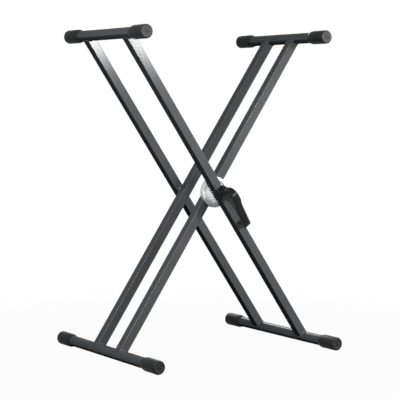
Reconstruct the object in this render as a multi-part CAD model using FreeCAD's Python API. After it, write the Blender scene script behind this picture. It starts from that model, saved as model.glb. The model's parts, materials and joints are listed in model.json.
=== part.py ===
import FreeCAD, Part
import math
import os

# A folding double-braced keyboard stand, in millimetres and degrees. Each frame is drawn upright about the pivot,
# with its legs along Z and its bars along Y, and is then leaned. The viewer's side, the front, is at -Y.

# Frames
LEG_LENGTH = 1085.0       # between the axes of a frame's two bars
LEG_SIDE = 26.5           # square tube
LEG_WALL = 1.5
LEG_CORNER = 1.8
BAR_D = 31.0              # round tube
BAR_WALL = 1.8
LEAN = 34.47              # each frame's lean from upright
TOP_WIDTH = 432.0         # over the caps
FOOT_WIDTH = 548.0        # over the caps
TOP_BARE = 21.0           # top bar left bare between a cap and an outer leg
LEG_GAP = 21.0            # between an outer leg and the inner leg beside it
SADDLE_GAP = 0.05         # between a coped leg and its bar
WELD_R = 2.2

# Rubber caps
CAP_D = 39.0
CAP_LENGTH = 73.0
CAP_TAPER = 12.0          # length of the tapered mouth
CAP_LIP = 1.2             # rubber left at the mouth
CAP_END = 5.0             # rubber over the bar's end
CAP_ROUND = 4.5
CAP_DISH_R = 11.0
CAP_DISH = 0.8
CAP_DIMPLE_R = 2.2
CAP_DIMPLE = 1.4
CAP_GAP = 0.05            # radial, on the bar

# Pivot hardware
BOLT_D = 8.0
HEX_ACROSS = 13.0
HEX_HEIGHT = 5.5
BOLT_TIP = 3.0            # thread past the nut
WASHER_D = 17.0
WASHER_T = 1.6
SLEEVE_D = 12.0
SPACER_D = 16.0
RUN_GAP = 0.05            # radial, on what turns or slides
SEAT_GAP = 0.05           # radial, on what is pressed in or screwed down
FACE_GAP = 0.1            # between flat faces that turn past each other
THRUST_T = 1.0

# Index disc
DISC_R = 44.5
DISC_PAD = 2.8            # from the leg to the back of the rim
DISC_PAD_R = 21.0
DISC_SHOULDER = 8.5       # radius of the rounded front rim
DISC_WEB = 3.6
DISC_BACK_RIM = 4.0       # rim's wall beside the hollow back
DISC_EDGE = 1.2           # radius of the rim's back edge
HUB_R = 7.5
TOOTH_COUNT = 30
TOOTH_R0 = 9.5
TOOTH_R1 = 33.0
TOOTH_HEIGHT = 1.5
TOOTH_MARGIN = 0.5        # from the teeth to the dish's wall
TOOTH_SHARE = 0.86        # of the pitch that a tooth's foot takes
TOOTH_SINK = 0.4          # of a tooth's foot below the web's face
DISC_SCREW_R = 15.0       # from the pivot to each screw
DISC_SCREW_D = 5.0
DISC_SCREW_IN = 8.0       # of each screw in the disc
DISC_HEAD_D = 8.5
DISC_HEAD = 2.4

# Lock pawl, below the pivot on the front outer leg
PAWL_DROP = 13.0          # from the pivot to the stem
PAWL_STEM_D = 7.0
PAWL_GUIDE_D = 10.0
PAWL_GUIDE_L = 12.0
PAWL_PLATE = 2.0
PAWL_WIDTH = 19.0
PAWL_REACH = 32.5         # outer edge, from the pivot
PAWL_TEETH = 3
PAWL_CLEAR = 0.4          # the pawl's crests stand this far off the disc's
PAWL_STOP = 0.3           # left before the leg when the trigger is pulled
HUB_CLEAR = 1.1

# Trigger
TRIGGER_PULL = 7.0        # degrees
PIN_RISE = 9.0            # of the trigger pin above the pivot
PIN_OUT = 10.0            # of the trigger pin from the leg's front face
PIN_D = 5.0
PIN_SUNK = 0.9            # of the pin's ends in the ears
LINK_D = 3.0
LINK_PLAY = 0.4           # each way along the leg
LINK_END = 2.6            # stem past the link pin's axis
GRIP_WIDTH = 23.6
GRIP_ROUND = 3.8
GRIP_INNER_ROUND = 1.8
HUB_WIDTH = 17.4
GRIP_HUB_R = 6.4
EAR_R = 8.0
EAR_GAP = 0.3             # on each side of the hub and round the ears
BRACKET_WIDTH = 26.0
BRACKET_BASE = 3.0
BRACKET_RISE = 18.0       # above the pivot
BRACKET_DROP = 17.5       # below the pivot
BRACKET_ROUND = 1.0
BRACKET_SCREW_DROP = 4.0
BRACKET_SCREW_X = 8.6
BRACKET_SCREW_D = 4.0
BRACKET_SCREW_L = 9.0
BRACKET_HEAD_D = 7.0
BRACKET_HEAD = 1.9
GRIP_FLOOR = 3.6          # head's underside, from the leg
GRIP_FOOT = 0.6           # foot's underside, from the leg
GRIP_TOP = 15.4           # above the pivot
FINGER_TOP = 19.0         # finger opening's upper end, below the pivot
FINGER_END = 104.0        # finger opening's lower end, below the pivot
FINGER_DEPTH = 36.5       # from the leg
FINGER_TOP_R = 14.5
FINGER_END_R = 9.0
GRIP_END = 118.5          # lower end, below the pivot
GRIP_END_OUT = 41.5
GRIP_END_R = 12.0
SHOULDER_OUT = 63.5       # from the leg
SHOULDER_R = 26.0
SHOULDER_DROP = 24.0
SHOULDER_FALL_R = 22.0
WAIST_DROP = 46.0
WAIST_OUT = 53.0
WAIST_R = 50.0
POCKET_GAP = 1.0          # round the stem inside the handle
POCKET_DEEP = 1.5         # past the stem's end
NOTCH_WIDTH = 15.2
NOTCH_FLOOR = 4.0         # notch's floor, above the pivot
NOTCH_START = 19.5        # from the leg
NOTCH_END = 29.5

# Return spring
SPRING_D = 10.0
SPRING_WIRE = 0.9
SPRING_TURNS = 5
SPRING_GAP = 0.3          # from each seat
QUARTERS = 4
GAP_STEPS = 48            # points to a turn when the gap is measured

X = FreeCAD.Vector(1, 0, 0)
Y = FreeCAD.Vector(0, 1, 0)
Z = FreeCAD.Vector(0, 0, 1)
HALF = LEG_LENGTH / 2
BAR_R = BAR_D / 2
CAP_R = CAP_D / 2
LEG_HALF = LEG_SIDE / 2
OUTER_Y = TOP_WIDTH / 2 - CAP_LENGTH - TOP_BARE - LEG_HALF
INNER_Y = OUTER_Y - LEG_SIDE - LEG_GAP
OUTER_FACE = OUTER_Y + LEG_HALF          # outer leg's outside
OUTER_BACK = OUTER_Y - LEG_HALF          # outer leg's face in the gap
INNER_FACE = INNER_Y + LEG_HALF          # inner leg's face in the gap
INNER_BACK = INNER_Y - LEG_HALF          # inner leg's face between the inner legs
PIVOT = FreeCAD.Vector(0, 0, HALF * math.cos(math.radians(LEAN)) + CAP_R)
OUTER = FreeCAD.Placement(PIVOT, FreeCAD.Rotation(Y, -LEAN))
INNER = FreeCAD.Placement(PIVOT, FreeCAD.Rotation(Y, LEAN))


def cyl_y(radius, y0, y1, x=0.0, z=0.0):
    """A cylinder along Y from y0 to y1."""
    return Part.makeCylinder(radius, y1 - y0, FreeCAD.Vector(x, y0, z), Y)


def cyl_x(radius, half, y, z):
    """A cylinder along X, as long each way from the leg's middle plane."""
    return Part.makeCylinder(radius, 2 * half, FreeCAD.Vector(-half, y, z), X)


def block(x, y0, y1, z0, z1):
    """A box x wide each way from the leg's middle plane."""
    return Part.makeBox(2 * x, y1 - y0, z1 - z0, FreeCAD.Vector(-x, y0, z0))


def ring(outer, bore, y0, y1):
    """A washer or sleeve on the pivot line."""
    return cyl_y(outer / 2, y0, y1).cut(cyl_y(bore / 2, y0, y1))


def hexagon(across, y0, y1):
    """A hexagonal prism on the pivot line."""
    corner = across / 2 / math.cos(math.pi / 6)
    turns = [math.radians(60 * i) for i in range(7)]
    wire = Part.makePolygon([FreeCAD.Vector(corner * math.cos(a), y0, corner * math.sin(a)) for a in turns])
    return Part.Face(wire).extrude(Y * (y1 - y0))


def countersunk(diameter, head_d, head, length, place, way):
    """A countersunk screw whose flat head lies at a place and whose shank runs the given way."""
    cone = Part.makeCone(head_d / 2, diameter / 2, head, place, way)
    return cone.fuse(Part.makeCylinder(diameter / 2, length, place, way))


def square_bar(side, corner, y):
    """A square bar along the leg, with rounded edges."""
    bar = block(side / 2, y - side / 2, y + side / 2, -HALF, HALF)
    uprights = [e for e in bar.Edges if e.BoundBox.ZLength > HALF]
    return bar.makeFillet(corner, uprights)


def leg(y, holes):
    """A square tube coped at both ends to sit on the round bars, with its holes drilled."""
    inside = square_bar(LEG_SIDE - 2 * LEG_WALL, LEG_CORNER - LEG_WALL, y)
    saddles = [cyl_y(BAR_R + SADDLE_GAP, y - LEG_SIDE, y + LEG_SIDE, 0, z) for z in (-HALF, HALF)]
    return square_bar(LEG_SIDE, LEG_CORNER, y).cut([inside] + saddles + holes)


def round_bar(width, z):
    """A round tube that ends inside its caps."""
    end = width / 2 - CAP_END
    return cyl_y(BAR_R, -end, end, 0, z).cut(cyl_y(BAR_R - BAR_WALL, -end, end, 0, z))


def cap(width, z, side):
    """A push-on rubber cap: a rounded, dished end with a dimple, a plain barrel and a tapered mouth."""
    def at(radius, depth):
        return FreeCAD.Vector(radius, side * (width / 2 - depth), z)
    bore = BAR_R + CAP_GAP
    swing = CAP_ROUND * (1 - math.sqrt(0.5))
    floor = CAP_DISH + CAP_DIMPLE
    outline = [at(0, floor), at(CAP_DIMPLE_R, floor), at(CAP_DIMPLE_R + CAP_DIMPLE, CAP_DISH),
               at(CAP_DISH_R - CAP_DISH, CAP_DISH), at(CAP_DISH_R, 0), at(CAP_R - CAP_ROUND, 0)]
    inside = [at(CAP_R, CAP_ROUND), at(CAP_R, CAP_LENGTH - CAP_TAPER), at(bore + CAP_LIP, CAP_LENGTH),
              at(bore, CAP_LENGTH), at(bore, CAP_END), at(0, CAP_END), at(0, floor)]
    edges = [Part.makeLine(a, b) for a, b in zip(outline, outline[1:])]
    edges.append(Part.Arc(outline[-1], at(CAP_R - swing, swing), inside[0]).toShape())
    edges += [Part.makeLine(a, b) for a, b in zip(inside, inside[1:])]
    return Part.Face(Part.Wire(edges)).revolve(FreeCAD.Vector(0, 0, z), Y, 360)


def weld(y, end):
    """A weld bead round a leg where it sits on its bar; end is 1 at the top bar and -1 at the foot bar."""
    z = end * HALF
    fall = math.sqrt(BAR_R ** 2 - LEG_HALF ** 2)
    turn = 2 * math.degrees(math.asin(LEG_HALF / BAR_R))
    rounds = []
    for face in (y - LEG_HALF, y + LEG_HALF):
        arc = Part.makeTorus(BAR_R, WELD_R, FreeCAD.Vector(0, 0, 0), Z, -180, 180, turn)
        arc.rotate(FreeCAD.Vector(0, 0, 0), Z, -90 - turn / 2)
        arc.rotate(FreeCAD.Vector(0, 0, 0), X, 90 * end)
        arc.translate(FreeCAD.Vector(0, face, z))
        rounds.append(arc)
        rounds += [Part.makeSphere(WELD_R, FreeCAD.Vector(x, face, z - end * fall)) for x in (-LEG_HALF, LEG_HALF)]
    sides = [cyl_y(WELD_R, y - LEG_HALF, y + LEG_HALF, x, z - end * fall) for x in (-LEG_HALF, LEG_HALF)]
    bead = rounds[0].fuse(rounds[1:] + sides)
    return bead.cut([cyl_y(BAR_R, y - LEG_SIDE, y + LEG_SIDE, 0, z), square_bar(LEG_SIDE, LEG_CORNER, y)])


def tooth(turn, foot_y, crest_y):
    """One radial tooth of triangular section, turned about the pivot from straight down the leg."""
    spread = math.tan(math.pi / TOOTH_COUNT * TOOTH_SHARE)
    wires = []
    for radius in (TOOTH_R0, TOOTH_R1):
        foot = [FreeCAD.Vector(x, foot_y, -radius) for x in (-radius * spread, radius * spread)]
        crest = FreeCAD.Vector(0, crest_y, -radius)
        wires.append(Part.makePolygon([foot[0], foot[1], crest, foot[0]]))
    solid = Part.makeLoft(wires, True, True)
    solid.rotate(FreeCAD.Vector(0, 0, 0), Y, turn)
    return solid


# Places along Y in the front gap, from the inner leg towards the outer leg
RIM_BACK = -INNER_FACE - DISC_PAD
HUB_FRONT = -OUTER_BACK + FACE_GAP + THRUST_T + FACE_GAP
LINK_ARM = PIN_RISE + PAWL_DROP
LINK_FALL = LINK_ARM * math.tan(math.radians(TRIGGER_PULL / 2))
PAWL_STROKE = 2 * LINK_FALL
PLATE_FRONT = -OUTER_BACK + PAWL_STOP + PAWL_STROKE
PLATE_BACK = PLATE_FRONT + PAWL_PLATE
PAWL_CREST = PLATE_BACK + TOOTH_HEIGHT
DISC_CREST = PAWL_CREST + PAWL_CLEAR
WEB_FRONT = DISC_CREST + TOOTH_HEIGHT
WEB_BACK = WEB_FRONT + DISC_WEB
GUIDE_END = PLATE_FRONT - PAWL_GUIDE_L
PIN_Y = -OUTER_FACE - PIN_OUT
LINK_Y = PIN_Y + LINK_FALL
STEM_END = LINK_Y - LINK_END
PITCH = 360.0 / TOOTH_COUNT


def index_disc():
    """A cast disc: rounded rim, thin web with radial teeth flush in its face, hollow back, pad on the leg and hub."""
    body = cyl_y(DISC_R, DISC_CREST, RIM_BACK)
    rims = [e for e in body.Edges if e.BoundBox.YLength < DISC_EDGE]
    rims.sort(key=lambda e: e.CenterOfMass.y)
    body = body.makeFillet(DISC_SHOULDER, rims[:1])
    rims = [e for e in body.Edges if e.BoundBox.YLength < DISC_EDGE and e.CenterOfMass.y > RIM_BACK - DISC_EDGE]
    body = body.makeFillet(DISC_EDGE, rims)
    dish = cyl_y(TOOTH_R1 + TOOTH_MARGIN, DISC_CREST, WEB_FRONT)
    back_r = DISC_R - DISC_BACK_RIM
    hollow = cyl_y(back_r, WEB_BACK, RIM_BACK).cut(cyl_y(DISC_PAD_R, WEB_BACK, RIM_BACK))
    body = body.cut([dish, hollow])
    teeth = []
    for i in range(TOOTH_COUNT):
        turn = (i + 0.5) * PITCH - 2 * LEAN
        teeth.append(tooth(turn, WEB_FRONT + TOOTH_SINK, DISC_CREST))
    body = body.fuse([cyl_y(DISC_PAD_R, RIM_BACK, -INNER_FACE), cyl_y(HUB_R, HUB_FRONT, WEB_FRONT)] + teeth)
    bore = cyl_y(BOLT_D / 2 + RUN_GAP, HUB_FRONT, -INNER_FACE)
    sinks = [disc_screw(z, SEAT_GAP) for z in (-DISC_SCREW_R, DISC_SCREW_R)]
    return body.cut([bore] + sinks).removeSplitter()


def disc_screw(z, gap):
    """A countersunk screw from the back of the inner front leg into the disc, or its hole with a gap."""
    return countersunk(DISC_SCREW_D + 2 * gap, DISC_HEAD_D + 2 * gap, DISC_HEAD, LEG_SIDE + DISC_SCREW_IN,
                       FreeCAD.Vector(0, -INNER_BACK, z), -Y)


def lock_pawl():
    """A toothed plate in the front gap, on a stepped stem that slides through the front outer leg."""
    plate = block(PAWL_WIDTH / 2, PLATE_FRONT, PLATE_BACK, -PAWL_REACH, 0)
    plate = plate.common(cyl_y(PAWL_REACH, PLATE_FRONT, PLATE_BACK))
    plate = plate.cut(cyl_y(HUB_R + HUB_CLEAR, PLATE_FRONT, PLATE_BACK))
    first = -(PAWL_TEETH - 1) / 2
    teeth = [tooth((first + i) * PITCH, PLATE_BACK - TOOTH_SINK, PAWL_CREST) for i in range(PAWL_TEETH)]
    limit = cyl_y(PAWL_REACH, PLATE_FRONT, PAWL_CREST)
    teeth = [t.common(limit) for t in teeth]
    guide = cyl_y(PAWL_GUIDE_D / 2, GUIDE_END, PLATE_FRONT, 0, -PAWL_DROP)
    stem = cyl_y(PAWL_STEM_D / 2, STEM_END, GUIDE_END, 0, -PAWL_DROP)
    slot_r = LINK_D / 2 + RUN_GAP
    slot = [cyl_x(slot_r, PAWL_STEM_D, LINK_Y, -PAWL_DROP + play) for play in (-LINK_PLAY, LINK_PLAY)]
    slot.append(block(PAWL_STEM_D, LINK_Y - slot_r, LINK_Y + slot_r, -PAWL_DROP - LINK_PLAY, -PAWL_DROP + LINK_PLAY))
    return plate.fuse(teeth + [guide, stem]).removeSplitter().cut(slot)


def rounded_path(corners):
    """Edges through corners given as (drop, out, radius), each rounded by a tangent arc; closed."""
    points = [FreeCAD.Vector(0, -OUTER_FACE - out, -drop) for drop, out, radius in corners]
    edges = []
    last = None
    first = None
    for i, corner in enumerate(corners):
        here = points[i]
        back = (points[i - 1] - here).normalize()
        ahead = (points[(i + 1) % len(points)] - here).normalize()
        half = back.getAngle(ahead) / 2
        reach = corner[2] / math.tan(half)
        start = here + back * reach
        end = here + ahead * reach
        if last is not None:
            edges.append(Part.makeLine(last, start))
        else:
            first = start
        if corner[2] > 0:
            towards = (back + ahead).normalize()
            middle = here + towards * (corner[2] / math.sin(half) - corner[2])
            edges.append(Part.Arc(start, middle, end).toShape())
        last = end
    edges.append(Part.makeLine(last, first))
    return edges


def beside(solid, marks, offset):
    """The solid's edges that lie a given distance to either side of marked edges of its middle plane."""
    found = []
    for edge in solid.Edges:
        centre = edge.CenterOfMass
        flat = FreeCAD.Vector(0, centre.y, centre.z)
        at_side = abs(abs(centre.x) - offset) < SEAT_GAP
        if at_side and any(flat.isEqual(mark.CenterOfMass, SEAT_GAP) for mark in marks):
            found.append(edge)
    return found


def trigger_handle():
    """A moulded D handle: hub on the pin, bulging shoulder, strap and foot, hollow where the pawl's stem enters."""
    outer = [(-GRIP_TOP, SHOULDER_OUT, SHOULDER_R), (SHOULDER_DROP, SHOULDER_OUT, SHOULDER_FALL_R),
             (WAIST_DROP, WAIST_OUT, WAIST_R), (GRIP_END, GRIP_END_OUT, GRIP_END_R)]
    foot = [(GRIP_END, GRIP_FOOT, 0), (FINGER_END, GRIP_FOOT, 0)]
    inner = [(FINGER_END, FINGER_DEPTH, FINGER_END_R), (FINGER_TOP, FINGER_DEPTH, FINGER_TOP_R)]
    hub = [(FINGER_TOP, GRIP_FLOOR, 0), (-PIN_RISE, GRIP_FLOOR, 0), (-PIN_RISE, PIN_OUT, 0), (-GRIP_TOP, PIN_OUT, 0)]
    edges = rounded_path(outer + foot + inner + hub)
    half = GRIP_WIDTH / 2
    face = Part.Face(Part.Wire(edges))
    face.translate(X * -half)
    body = face.extrude(X * GRIP_WIDTH)
    outside = edges[:2 * len(outer)]
    inside = edges[len(outside) + 1:len(outside) + 2 * len(inner) + 2]
    body = body.makeFillet(GRIP_ROUND, beside(body, outside, half))
    body = body.makeFillet(GRIP_INNER_ROUND, beside(body, inside, half))
    ear_r = EAR_R + EAR_GAP
    ears = cyl_x(ear_r, half, PIN_Y, PIN_RISE)
    ears = ears.fuse(block(half, PIN_Y, -OUTER_FACE, PIN_RISE - ear_r, PIN_RISE + ear_r))
    ears = ears.cut(block(HUB_WIDTH / 2, PIN_Y - ear_r, -OUTER_FACE, PIN_RISE - ear_r, PIN_RISE + ear_r))
    body = body.fuse(cyl_x(GRIP_HUB_R, HUB_WIDTH / 2, PIN_Y, PIN_RISE)).cut(ears)
    pocket_r = PAWL_STEM_D / 2 + POCKET_GAP
    pocket = block(pocket_r, STEM_END - POCKET_DEEP, -OUTER_FACE, -PAWL_DROP - pocket_r, -PAWL_DROP + pocket_r)
    notch = block(NOTCH_WIDTH / 2, -OUTER_FACE - NOTCH_END, -OUTER_FACE - NOTCH_START, NOTCH_FLOOR, GRIP_TOP)
    pin_hole = cyl_x(PIN_D / 2 + RUN_GAP, half, PIN_Y, PIN_RISE)
    link_hole = cyl_x(LINK_D / 2 + SEAT_GAP, half, LINK_Y, -PAWL_DROP)
    return body.cut([pocket, notch, pin_hole, link_hole])


def bracket_screw(x, gap):
    """A countersunk screw from the bracket into the front outer leg, or its hole with a gap."""
    place = FreeCAD.Vector(x, -OUTER_FACE - BRACKET_BASE, -BRACKET_SCREW_DROP)
    return countersunk(BRACKET_SCREW_D + 2 * gap, BRACKET_HEAD_D + 2 * gap, BRACKET_HEAD, BRACKET_SCREW_L, place, Y)


def trigger_bracket():
    """A base on the leg with two round ears for the trigger pin."""
    front = -OUTER_FACE - BRACKET_BASE
    half = BRACKET_WIDTH / 2
    base = block(half, front, -OUTER_FACE, -BRACKET_DROP, BRACKET_RISE)
    edges = [e for e in base.Edges if e.BoundBox.YLength < SEAT_GAP and e.CenterOfMass.y < front + SEAT_GAP]
    base = base.makeFillet(BRACKET_ROUND, edges)
    ears = cyl_x(EAR_R, half, PIN_Y, PIN_RISE)
    ears = ears.fuse(block(half, PIN_Y, -OUTER_FACE, PIN_RISE - EAR_R, PIN_RISE + EAR_R))
    between = block(HUB_WIDTH / 2 + EAR_GAP, PIN_Y - EAR_R, front, PIN_RISE - EAR_R, PIN_RISE + EAR_R)
    body = base.fuse(ears).cut(between)
    stem_hole = cyl_y(PAWL_STEM_D / 2 + RUN_GAP, front, -OUTER_FACE, 0, -PAWL_DROP)
    pin_hole = cyl_x(PIN_D / 2 + SEAT_GAP, half, PIN_Y, PIN_RISE)
    screws = [bracket_screw(x, SEAT_GAP) for x in (-BRACKET_SCREW_X, BRACKET_SCREW_X)]
    return body.removeSplitter().cut([stem_hole, pin_hole] + screws)


def helix_point(turn, radius, start, pitch):
    """Point and direction on the spring's centre line after a number of turns."""
    angle = 2 * math.pi * turn
    point = FreeCAD.Vector(radius * math.cos(angle), start - pitch * turn, radius * math.sin(angle) - PAWL_DROP)
    along = FreeCAD.Vector(-radius * math.sin(angle), -pitch / (2 * math.pi), radius * math.cos(angle))
    return point, along.normalize()


def tangent_arc(start, knee, end):
    """The arc that touches both legs of a knee of equal legs."""
    weight = end.distanceToPoint(start) / (2 * knee.distanceToPoint(start))
    middle = (start + knee * (2 * weight) + end) * (1 / (2 + 2 * weight))
    return Part.Arc(start, middle, end).toShape()


def return_spring():
    """A compression spring round the pawl's stem, one unbroken wire on a biarc for each quarter turn."""
    start = GUIDE_END - SPRING_GAP - SPRING_WIRE / 2
    end = -OUTER_FACE + LEG_WALL + SPRING_GAP + SPRING_WIRE / 2
    pitch = (start - end) / SPRING_TURNS
    radius = (SPRING_D - SPRING_WIRE) / 2
    edges = []
    for i in range(SPRING_TURNS * QUARTERS):
        p0, t0 = helix_point(i / QUARTERS, radius, start, pitch)
        p1, t1 = helix_point((i + 1) / QUARTERS, radius, start, pitch)
        chord = p1 - p0
        both = chord.dot(t0 + t1)
        bend = 2 * (1 - t0.dot(t1))
        reach = (math.sqrt(both ** 2 + bend * chord.dot(chord)) - both) / bend
        knee0 = p0 + t0 * reach
        knee1 = p1 - t1 * reach
        join = (knee0 + knee1) * 0.5
        edges += [tangent_arc(p0, knee0, join), tangent_arc(join, knee1, p1)]
    p0, t0 = helix_point(0, radius, start, pitch)
    section = Part.Wire(Part.makeCircle(SPRING_WIRE / 2, p0, t0))
    samples = [helix_point(i / GAP_STEPS, radius, start, pitch)[0] for i in range(SPRING_TURNS * GAP_STEPS)]
    gaps = [a.distanceToPoint(b) for i, a in enumerate(samples) for b in samples[i + GAP_STEPS // 2:]]
    print("return spring: least gap to itself %.2f mm" % (min(gaps) - SPRING_WIRE))
    return Part.Wire(edges).makePipeShell([section], True, False)


def save(name, shape, frame):
    """Leans a piece with its frame and writes it."""
    placed = shape.copy()
    placed.Placement = frame.multiply(placed.Placement)
    placed.exportStep("parts/%s.step" % name)


def frame_pieces(name, frame, leg_y, front_holes, rear_holes):
    """A frame's legs, bars, caps and welds."""
    save(name + "_leg_front", leg(-leg_y, front_holes), frame)
    save(name + "_leg_rear", leg(leg_y, rear_holes), frame)
    for level, width, z in (("top", TOP_WIDTH, HALF), ("foot", FOOT_WIDTH, -HALF)):
        save("%s_%s_bar" % (name, level), round_bar(width, z), frame)
        for side, sign in (("front", -1), ("rear", 1)):
            save("%s_%s_cap_%s" % (name, level, side), cap(width, z, sign), frame)
    beads = [weld(y, end) for y in (-leg_y, leg_y) for end in (-1, 1)]
    save(name + "_weld_beads", Part.makeCompound(beads), frame)


def main():
    os.makedirs("parts", exist_ok=True)
    bolt_hole = BOLT_D / 2 + RUN_GAP
    sleeve_hole = SLEEVE_D / 2 + SEAT_GAP
    screws = [bracket_screw(x, SEAT_GAP) for x in (-BRACKET_SCREW_X, BRACKET_SCREW_X)]
    stem_hole = cyl_y(PAWL_STEM_D / 2 + RUN_GAP, -OUTER_FACE, -OUTER_Y, 0, -PAWL_DROP)
    guide_hole = cyl_y(PAWL_GUIDE_D / 2 + RUN_GAP, -OUTER_Y, -OUTER_BACK, 0, -PAWL_DROP)
    bush_hole = cyl_y(sleeve_hole, -OUTER_Y, -OUTER_BACK)
    frame_pieces("outer", OUTER, OUTER_Y, [stem_hole, guide_hole, bush_hole] + screws,
                 [cyl_y(sleeve_hole, OUTER_BACK, OUTER_FACE)])
    disc_screws = [disc_screw(z, SEAT_GAP) for z in (-DISC_SCREW_R, DISC_SCREW_R)]
    frame_pieces("inner", INNER, INNER_Y, [cyl_y(sleeve_hole, -INNER_FACE, -INNER_BACK)] + disc_screws,
                 [cyl_y(bolt_hole, INNER_Y, INNER_FACE)])

    bore = BOLT_D + 2 * RUN_GAP
    save("front_pivot_sleeve", ring(SLEEVE_D, bore, -INNER_FACE, -INNER_BACK), INNER)
    save("index_disc", index_disc(), INNER)
    disc_screws = [disc_screw(z, 0) for z in (-DISC_SCREW_R, DISC_SCREW_R)]
    save("disc_screws", Part.makeCompound(disc_screws), INNER)

    seat = -INNER_BACK + FACE_GAP
    head = seat + WASHER_T
    bush_end = -OUTER_FACE + LEG_WALL
    save("front_bolt_washer", ring(WASHER_D, bore, seat, head), OUTER)
    shank = cyl_y(BOLT_D / 2, bush_end, head)
    save("front_pivot_bolt", hexagon(HEX_ACROSS, head, head + HEX_HEIGHT).fuse(shank), OUTER)
    save("front_pivot_bush", ring(SLEEVE_D, BOLT_D + 2 * SEAT_GAP, bush_end, -OUTER_BACK), OUTER)
    thrust = -OUTER_BACK + FACE_GAP
    save("front_thrust_washer", ring(2 * HUB_R, bore, thrust, thrust + THRUST_T), OUTER)

    seat = OUTER_FACE + FACE_GAP
    head = seat + WASHER_T
    nut = INNER_FACE - LEG_WALL
    washer = INNER_FACE + WASHER_T
    save("rear_pivot_sleeve", ring(SLEEVE_D, bore, OUTER_BACK, OUTER_FACE), OUTER)
    save("rear_pivot_spacer", ring(SPACER_D, bore, washer + FACE_GAP, OUTER_BACK), OUTER)
    save("rear_bolt_washer", ring(WASHER_D, bore, seat, head), INNER)
    shank = cyl_y(BOLT_D / 2, nut - HEX_HEIGHT - BOLT_TIP, head)
    save("rear_pivot_bolt", hexagon(HEX_ACROSS, head, head + HEX_HEIGHT).fuse(shank), INNER)
    save("rear_nut_washer", ring(WASHER_D, bore, INNER_FACE, washer), INNER)
    thread = cyl_y(BOLT_D / 2 + SEAT_GAP, nut - HEX_HEIGHT, nut)
    save("rear_pivot_nut", hexagon(HEX_ACROSS, nut - HEX_HEIGHT, nut).cut(thread), INNER)

    save("trigger_bracket", trigger_bracket(), OUTER)
    screws = [bracket_screw(x, 0) for x in (-BRACKET_SCREW_X, BRACKET_SCREW_X)]
    save("bracket_screws", Part.makeCompound(screws), OUTER)
    save("trigger_pin", cyl_x(PIN_D / 2, BRACKET_WIDTH / 2 - PIN_SUNK, PIN_Y, PIN_RISE), OUTER)
    save("trigger_handle", trigger_handle(), OUTER)
    save("link_pin", cyl_x(LINK_D / 2, GRIP_WIDTH / 2 - PIN_SUNK, LINK_Y, -PAWL_DROP), OUTER)
    save("lock_pawl", lock_pawl(), OUTER)
    save("return_spring", return_spring(), OUTER)


main()
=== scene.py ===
import json
import math

import bmesh
import bpy
import numpy as np
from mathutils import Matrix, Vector


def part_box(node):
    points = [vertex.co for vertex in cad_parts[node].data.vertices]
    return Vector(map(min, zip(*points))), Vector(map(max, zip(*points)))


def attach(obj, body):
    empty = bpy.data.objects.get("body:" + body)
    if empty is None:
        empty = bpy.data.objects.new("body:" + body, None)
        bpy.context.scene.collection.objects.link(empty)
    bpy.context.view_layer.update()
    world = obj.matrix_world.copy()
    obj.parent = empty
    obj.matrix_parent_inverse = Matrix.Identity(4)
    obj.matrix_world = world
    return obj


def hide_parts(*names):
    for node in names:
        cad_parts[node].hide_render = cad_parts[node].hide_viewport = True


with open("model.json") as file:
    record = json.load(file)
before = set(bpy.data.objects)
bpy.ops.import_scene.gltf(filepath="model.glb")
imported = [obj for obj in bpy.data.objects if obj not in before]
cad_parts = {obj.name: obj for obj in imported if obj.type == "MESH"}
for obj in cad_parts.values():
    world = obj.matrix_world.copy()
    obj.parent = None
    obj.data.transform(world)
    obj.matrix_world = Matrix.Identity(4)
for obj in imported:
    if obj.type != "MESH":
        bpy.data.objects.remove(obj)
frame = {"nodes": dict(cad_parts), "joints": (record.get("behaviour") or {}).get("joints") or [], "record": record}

bl_info = {
    "name": "Keyboard stand",
    "version": (1, 0, 0),
    "blender": (4, 5, 0),
    "location": "3D View > Sidebar > Stand",
    "description": "Dresses the packed keyboard stand in its finishes and sets its studio",
    "category": "Object",
}

NODES = frame["nodes"]
JOINTS = {joint["name"]: joint for joint in frame["joints"]}
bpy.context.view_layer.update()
PIVOT = Vector(JOINTS["fold"]["pos_m"])


def middle(node):
    """The middle of a CAD node's box."""
    low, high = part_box(node)
    return (Vector(low) + Vector(high)) / 2


def extent(node):
    """The size of a CAD node's box."""
    low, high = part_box(node)
    return Vector(high) - Vector(low)


# Node helpers

def add_node(tree, kind, settings=None, inputs=None):
    """One shader node with its settings, whose inputs are given as values or as sockets to link from."""
    node = tree.nodes.new(kind)
    for name, value in (settings or {}).items():
        setattr(node, name, value)
    for name, value in (inputs or {}).items():
        if isinstance(value, bpy.types.NodeSocket):
            tree.links.new(value, node.inputs[name])
        else:
            node.inputs[name].default_value = value
    return node


def math_node(tree, operation, *values):
    """The result socket of one Math node."""
    return add_node(tree, "ShaderNodeMath", {"operation": operation}, dict(enumerate(values))).outputs[0]


def mix_colour(tree, share, first, second):
    """The socket of a blend from the first colour to the second by a share."""
    node = add_node(tree, "ShaderNodeMix", {"data_type": "RGBA"})
    for index, value in ((0, share), (6, first), (7, second)):
        if isinstance(value, bpy.types.NodeSocket):
            tree.links.new(value, node.inputs[index])
        else:
            node.inputs[index].default_value = value
    return node.outputs[2]


def ramp(tree, value, low, high, to_low=0.0, to_high=1.0):
    """The socket of a value carried smoothly from one range to another."""
    settings = {"interpolation_type": "SMOOTHSTEP"}
    inputs = {"Value": value, "From Min": low, "From Max": high, "To Min": to_low, "To Max": to_high}
    return add_node(tree, "ShaderNodeMapRange", settings, inputs).outputs["Result"]


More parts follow.
